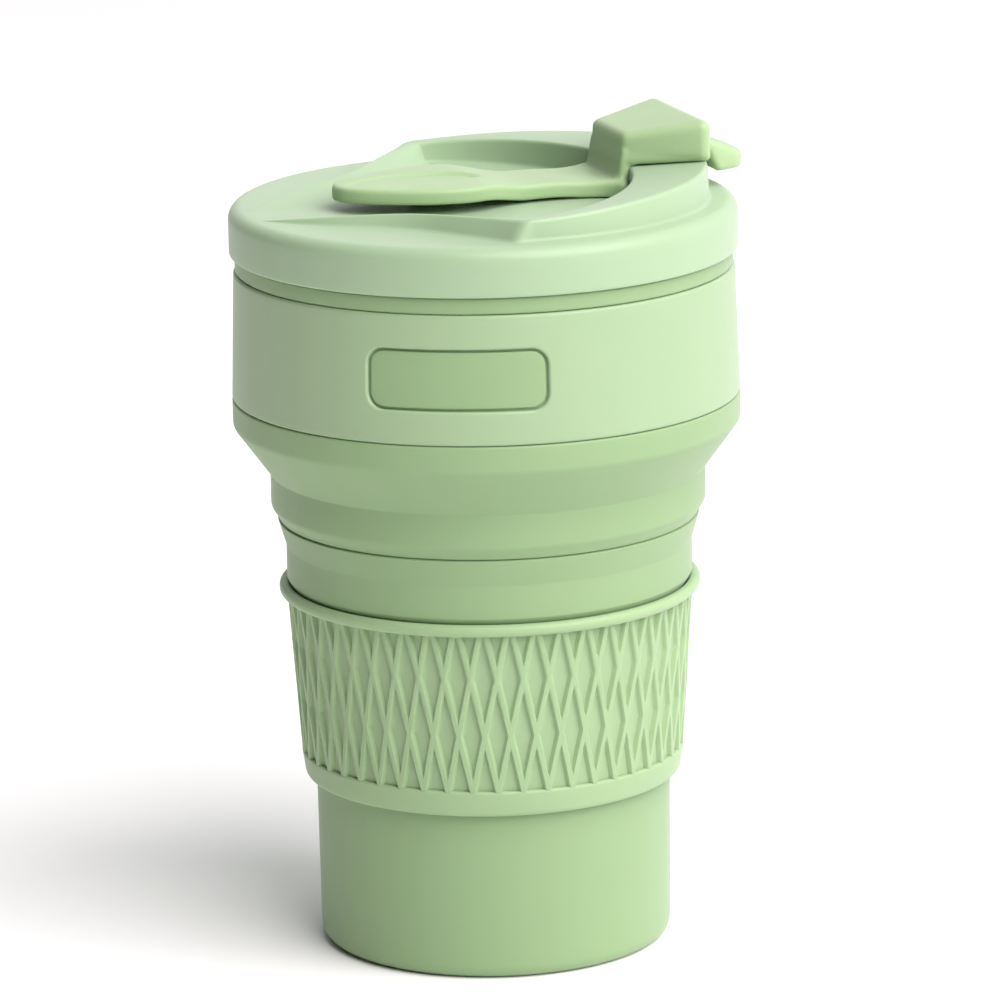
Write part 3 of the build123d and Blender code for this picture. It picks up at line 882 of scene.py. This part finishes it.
def hull(name, corners, radius):
    """Solid with rounded edges: the tightest skin round a small ball at each corner."""
    a, b = np.meshgrid(np.linspace(0, 2 * np.pi, 25)[:-1], np.linspace(0, np.pi, 13))
    ball = np.stack([np.sin(b) * np.cos(a), np.sin(b) * np.sin(a), np.cos(b)], -1)
    points = np.array(corners, float)[:, None] + radius * ball.reshape(-1, 3)
    mesh = bpy.data.meshes.new(name)
    mesh.from_pydata((points.reshape(-1, 3) / 1000).tolist(), [], [])
    work = bmesh.new()
    work.from_mesh(mesh)
    bmesh.ops.remove_doubles(work, verts=work.verts, dist=1e-7)
    skin = bmesh.ops.convex_hull(work, input=work.verts, use_existing_faces=False)
    inner = [g for g in skin["geom_interior"] if isinstance(g, bmesh.types.BMVert)]
    bmesh.ops.delete(work, geom=inner, context="VERTS")
    work.to_mesh(mesh)
    work.free()
    return finished(bpy.data.objects.new(name, mesh), 60)


def mirrored(*points):
    """The points and their mirror images in Y."""
    return [(x, s * y, z) for x, y, z in points for s in (-1, 1)]


half_plan = smooth_through(strap_plan, 110)
plan = np.concatenate([half_plan[::-1], half_plan[1:] * (1, -1)])
plan = plan[np.hypot(*(plan - np.roll(plan, 1, axis=0)).T) > 1e-3]
area = plan[:, 0] * np.roll(plan[:, 1], -1) - plan[:, 1] * np.roll(plan[:, 0], -1)
plan = plan if area.sum() > 0 else plan[::-1]
rim_rest = lid_top + 6.4
tip_x, tip_half, tip_radius = 45.3, 3.2, 3.9
tip_turn = np.linspace(0, np.pi / 2, 7)
tab_tip = [
    (tip_x + tip_radius * np.cos(t), tip_half + tip_radius * np.sin(t)) for t in tip_turn
]
tab_low, tab_high = 145.8, 147.3
block_edge = 1.7
block_back_top, block_front_top = 152.1, 154.0
plug_radius, plug_tip_radius = 4.2, 3.5
plug_top, plug_tip = rim_rest + 1.0, rim_rest - 3.4
neck_radius, boss_radius = 3.0, 4.5
peg_tip = lid_under - 2.5
parts = [
    slab("strap", plan, strap_bottom, strap_top, 0.5, 0.9),
    # the block over the rim, its leg down to the strap, and the fillet behind it
    hull(
        "block",
        mirrored(
            (26.3, 7.2, rim_rest + block_edge),
            (26.3, 7.2, block_back_top),
            (38.8, 12.6, rim_rest + block_edge),
            (38.8, 12.6, block_front_top),
        ),
        block_edge,
    ),
    hull(
        "block_foot",
        mirrored(
            (25.5, 8.0, rim_rest + 0.3),
            (39.5, 13.3, rim_rest + 0.9),
            (25.9, 7.6, rim_rest + 4),
            (39.2, 13.0, rim_rest + 4),
        ),
        0.9,
    ),
    hull(
        "leg",
        mirrored(
            (25.3, 8.0, rim_rest + 2),
            (25.3, 8.0, strap_bottom + 0.9),
            (24.2, 8.0, strap_bottom + 0.9),
        ),
        0.85,
    ),
    hull("fillet", mirrored((24.8, 7.8, 147.6), (23.2, 7.6, 145.2), (24.8, 7.8, 145.0)), 0.5),
    # the web over the rim, and the tab that hangs outside it
    hull("web", mirrored((38.5, 9.5, 149.5), (38.5, 9.5, 151.8), (42.3, 8.2, 149.9)), 0.9),
    hull(
        "tab",
        mirrored((42.3, 8.2, 149.9), (42.3, 8.2, 149.4), (44.1, 7.8, tab_low))
        + mirrored(*[(x, y, z) for x, y in tab_tip for z in (tab_low, tab_high)]),
        0.9,
    ),
    column(
        "plug",
        sip_x,
        rounded(
            [
                (0, plug_tip, 0),
                (plug_tip_radius, plug_tip, 0.7),
                (plug_radius, rim_rest, 0),
                (plug_radius, plug_top, 0),
                (0, plug_top, 0),
            ],
            closed=False,
        ),
    ),
    # the peg: a boss on the lid, a neck through it and a head that snaps behind it
    column(
        "peg",
        anchor_x,
        rounded(
            [
                (0, peg_tip, 0),
                (2.6, peg_tip, 0.6),
                (4.2, lid_under - 0.3, 0.3),
                (neck_radius, lid_under - 0.1, 0),
                (neck_radius, lid_top + 0.1, 0),
                (boss_radius, lid_top + 0.1, 0.3),
                (boss_radius, strap_bottom + 1.0, 0),
                (0, strap_bottom + 1.0, 0),
            ],
            closed=False,
        ),
    ),
]
work = bmesh.new()
for part in parts:
    work.from_mesh(part.data)
    bpy.data.objects.remove(part)
stopper_mesh = bpy.data.meshes.new("stopper_shell")
work.to_mesh(stopper_mesh)
work.free()
stopper = bpy.data.objects.new("stopper_shell", stopper_mesh)
bpy.context.scene.collection.objects.link(stopper)
# one skin over all of it, then eased as a mould's inside corners are
remesh = stopper.modifiers.new("skin", "REMESH")
remesh.mode, remesh.voxel_size = "VOXEL", 0.00032
ease = stopper.modifiers.new("ease", "SMOOTH")
ease.factor, ease.iterations = 0.5, 6
bpy.context.view_layer.update()
graph = bpy.context.evaluated_depsgraph_get()
stopper.data = bpy.data.meshes.new_from_object(stopper.evaluated_get(graph), depsgraph=graph)
stopper.modifiers.clear()
stopper.data.name = "stopper_shell"


def step_between(low, high, value):
    """0 below low, 1 above high, 3t**2 - 2t**3 between."""
    t = np.clip((value - low) / (high - low), 0, 1)
    return t * t * (3 - 2 * t)


at = np.empty(len(stopper.data.vertices) * 3)
stopper.data.vertices.foreach_get("co", at)
at = at.reshape(-1, 3) * 1000
x, y, z = at.T
# finger dimple: an oval scoop with a firm edge, deepest at its front end
oval = np.hypot((x + 13.6) / 13.2, y / (5.6 - 2.0 * step_between(-14, -28, x)))
scoop = (0.30 + 0.45 * step_between(-26, -2, x)) * (1 - step_between(0.86, 1.02, oval))
z = z - scoop * step_between(strap_top - 1.2, strap_top - 0.3, z) * (z < strap_top + 0.3)
# the strap bows: up under the pad, down at the waist and on down to the block,
# whose own shape is left alone
bow = 0.6 * (1 - step_between(-4, 6, x)) - 0.85 * step_between(-4, 7, x)
bow = bow - 0.4 * step_between(11, 19, x)
bow = bow * (1 - step_between(145.5, 148.5, z)) * (1 - step_between(26.6, 27.6, x))
z = z + bow * step_between(lid_top, strap_bottom - 0.5, z)
stopper.data.vertices.foreach_set("co", (np.stack([x, y, z], -1) / 1000).ravel())
finished(stopper, 80.0)
stopper_silicone = soft_silicone(
    "pale_sage_silicone_satin", "#9EB88B", "#99B386", 0.45, 0.15
)
stopper.data.materials.append(stopper_silicone)
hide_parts("stopper_pad", "stopper_block")
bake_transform(stopper)

# ---------------------------------------------------------------------- sleeve
# Grip sleeve, a separate silicone moulding stretched over the beaker: a rolled
# flange at the top, a plain band at the foot, and between them two families of
# raised ribs that cross as tall diamonds.
sleeve_bottom = sleeve_low.z * 1000
flange_radius = sleeve_high.x * 1000
rib_top_z, rib_foot_z = sleeve_top - 2.4, sleeve_bottom + 5.0
rib_radius_top, rib_radius_foot = 38.2, 36.15
rib_depth = 0.8
under_skin = rib_depth + 0.35  # the wall's own face, hidden under the ribbed skin
body_radius_top = rib_radius_top - under_skin
body_radius_foot = rib_radius_foot - under_skin
sleeve_section = rounded(
    [
        (base_radius + 0.72, sleeve_bottom, 0.3),
        (35.5, sleeve_bottom, 1.1),
        (rib_radius_foot + 0.1, rib_foot_z, 0.5),
        (body_radius_foot, rib_foot_z, 0.2),
        (body_radius_top, sleeve_top - flange_height, 0.2),
        (flange_radius, sleeve_top - flange_height, 1.0),
        (flange_radius, sleeve_top, 1.0),
        (38.0, sleeve_top, 0.5),
        (36.6, sleeve_top - flange_height, 1.0),
    ],
    pitch=1.5,
)
ribs_round = 48
rib_cross = 11.0  # height from one row of crossings to the next
rib_phase = 0.66  # turn of the pattern, in ribs
rib_flat, rib_flank = 0.085, 0.105  # half the rib's top and one flank, in ribs
# the grid's lines across one cell, close together over a rib's rounded flank
cell = np.array([0, 0.085, 0.12, 0.155, 0.19, 0.34, 0.5, 0.66, 0.81, 0.845, 0.88, 0.915])


def diamond_skin(rows):
    """The ribbed skin on a slanted grid whose lines run along both families of ribs.
    u and v count the ribs of each: the angle is their half sum, the height their
    difference, and the radius is the rib's top less the depth times
    1 - max(f(u), f(v)), where f is 1 on a rib and falls by a half cosine to 0."""
    count = ribs_round * len(cell)
    i, k = np.meshgrid(np.arange(count), np.arange(rows * len(cell) + 1), indexing="ij")

    def line(m):
        """Rib count at the grid's line m."""
        return m // len(cell) + cell[m % len(cell)]

    u, v = line(i), line(i - k)
    height = rib_foot_z - 0.2 + rib_cross * (u - v)
    angle = ((u + v) / 2 + rib_phase) * 2 * np.pi / ribs_round

    def rib(w):
        """1 on a rib's top, 0 between ribs, a half cosine down its flank."""
        off = np.abs(w - np.round(w))
        return 0.5 + 0.5 * np.cos(np.pi * np.clip((off - rib_flat) / rib_flank, 0, 1))

    share = (height - rib_foot_z) / (rib_top_z - rib_foot_z)
    radius = rib_radius_foot + (rib_radius_top - rib_radius_foot) * share
    radius = radius - rib_depth * (1 - np.maximum(rib(u), rib(v)))
    points = np.stack([radius * np.cos(angle), radius * np.sin(angle), height], -1)
    index = np.arange(points.shape[0] * points.shape[1]).reshape(points.shape[:2])
    after = np.roll(index, -1, axis=0)
    quads = np.stack([index[:, 1:-1], after[:, 2:], after[:, 1:-1], index[:, :-2]], -1)
    feet = np.stack([index[:, 0], after[:, 1], after[:, 0]], -1)
    return points.reshape(-1, 3), quads.reshape(-1, 4).tolist() + feet.tolist()


skin_points, skin_faces = diamond_skin(3)
skin_mesh = bpy.data.meshes.new("sleeve_skin")
skin_mesh.from_pydata((skin_points / 1000).tolist(), [], skin_faces)
skin = finished(bpy.data.objects.new("sleeve_skin", skin_mesh), 60.0)
sleeve = mesh_piece("sleeve_shell", (turned(sleeve_section, turn), True, True))
work = bmesh.new()
work.from_mesh(skin.data)
# the skin's foot turns inwards, and its top ends inside the flange
tuck, skin_top = 0.985, sleeve_top - 1.6
rim_edges = [e for e in work.edges if e.is_boundary]
made = bmesh.ops.extrude_edge_only(work, edges=rim_edges)["geom"]
for vert in [g for g in made if isinstance(g, bmesh.types.BMVert)]:
    vert.co.xy *= tuck
bmesh.ops.bisect_plane(
    work,
    geom=work.verts[:] + work.edges[:] + work.faces[:],
    plane_co=(0, 0, skin_top / 1000),
    plane_no=(0, 0, 1),
    clear_outer=True,
)
work.from_mesh(sleeve.data)
work.to_mesh(sleeve.data)
work.free()
bpy.data.objects.remove(skin)
sleeve.data.polygons.foreach_set("use_smooth", np.ones(len(sleeve.data.polygons), bool))
sleeve.data.set_sharp_from_angle(angle=np.radians(50))
sleeve_silicone = soft_silicone(
    "light_sage_silicone_satin", "#99B488", "#94AF83", 0.5, 0.12
)
sleeve.data.materials.append(sleeve_silicone)
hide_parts("sleeve")
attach(sleeve, "sleeve")

# ---------------------------------------------------------------------- studio
# White paper floor, one large soft light from the upper right and a sky that is
# bright behind the cup and dim on the left. The lens is long, from a little above.
view_up, view_side = np.radians(13.57), np.radians(-19.0)
aim_height, aim_across, view_distance = 84.01, 2.18, 1281.4
view_roll = np.radians(-1.07)
toward = np.array(
    [
        np.sin(view_side) * np.cos(view_up),
        -np.cos(view_side) * np.cos(view_up),
        np.sin(view_up),
    ]
)
across = np.array([np.cos(view_side), np.sin(view_side), 0.0])
upward = np.cross(toward, across)
aim = np.array([0, 0, aim_height]) + across * aim_across
lens = bpy.data.cameras.new("camera")
lens.lens, lens.sensor_width = 245.13, 36.0
camera = bpy.data.objects.new("camera", lens)
bpy.context.scene.collection.objects.link(camera)
place = Matrix.Identity(4)
for i, axis in enumerate((across, upward, toward)):
    place.col[i] = (*axis, 0)
place.translation = Vector((aim + toward * view_distance) / 1000)
camera.matrix_world = place @ Matrix.Rotation(view_roll, 4, "Z")
bpy.context.scene.camera = camera

floor_mesh = bpy.data.meshes.new("studio_floor")
reach = 6  # metres from the cup to the paper's sides
corners = [(-reach, -reach, 0), (reach, -reach, 0), (reach, reach, 0), (-reach, reach, 0)]
floor_mesh.from_pydata(corners, [], [(0, 1, 2, 3)])
floor = bpy.data.objects.new("studio_floor", floor_mesh)
bpy.context.scene.collection.objects.link(floor)
paper = bpy.data.materials.new("white_paper")
paper.use_nodes = True
matt = paper.node_tree.nodes["Principled BSDF"]
matt.inputs["Base Color"].default_value = (0.9, 0.9, 0.9, 1)
matt.inputs["Roughness"].default_value = 0.9
floor_mesh.materials.append(paper)

key_side, key_up, key_distance = np.radians(24), np.radians(46), 3.0
key_way = Vector(
    (np.sin(key_side) * np.cos(key_up), -np.cos(key_side) * np.cos(key_up), np.sin(key_up))
)
key_light = bpy.data.lights.new("key", "AREA")
key_light.shape, key_light.size, key_light.energy = "SQUARE", 3.0, 165
key_light.color = (1.0, 0.95, 0.96)
key = bpy.data.objects.new("key", key_light)
key.location = Vector((0, 0, 0.08)) + key_way * key_distance
key.rotation_euler = key_way.to_track_quat("Z", "Y").to_euler()
bpy.context.scene.collection.objects.link(key)

world = bpy.data.worlds.new("studio")
bpy.context.scene.world = world
world.use_nodes = True
sky = world.node_tree
way = node(sky, "ShaderNodeTexCoord").outputs["Generated"]
# brightest behind the cup and to its right, nearly dark in front and on the left
bright_side = node(sky, "ShaderNodeVectorMath", {"operation": "DOT_PRODUCT"}, input0=way)
bright_side.inputs[1].default_value = (0.80, 0.44, 0.40)
level = node(sky, "ShaderNodeMapRange", None, Value=bright_side.outputs["Value"])
level.inputs["From Min"].default_value, level.inputs["From Max"].default_value = -0.1, 0.75
level.inputs["To Min"].default_value, level.inputs["To Max"].default_value = 0.02, 1.1
sky.links.new(level.outputs["Result"], sky.nodes["Background"].inputs["Strength"])
sky.nodes["Background"].inputs["Color"].default_value = (1, 1, 1, 1)
bpy.context.scene.view_settings.view_transform = "Standard"
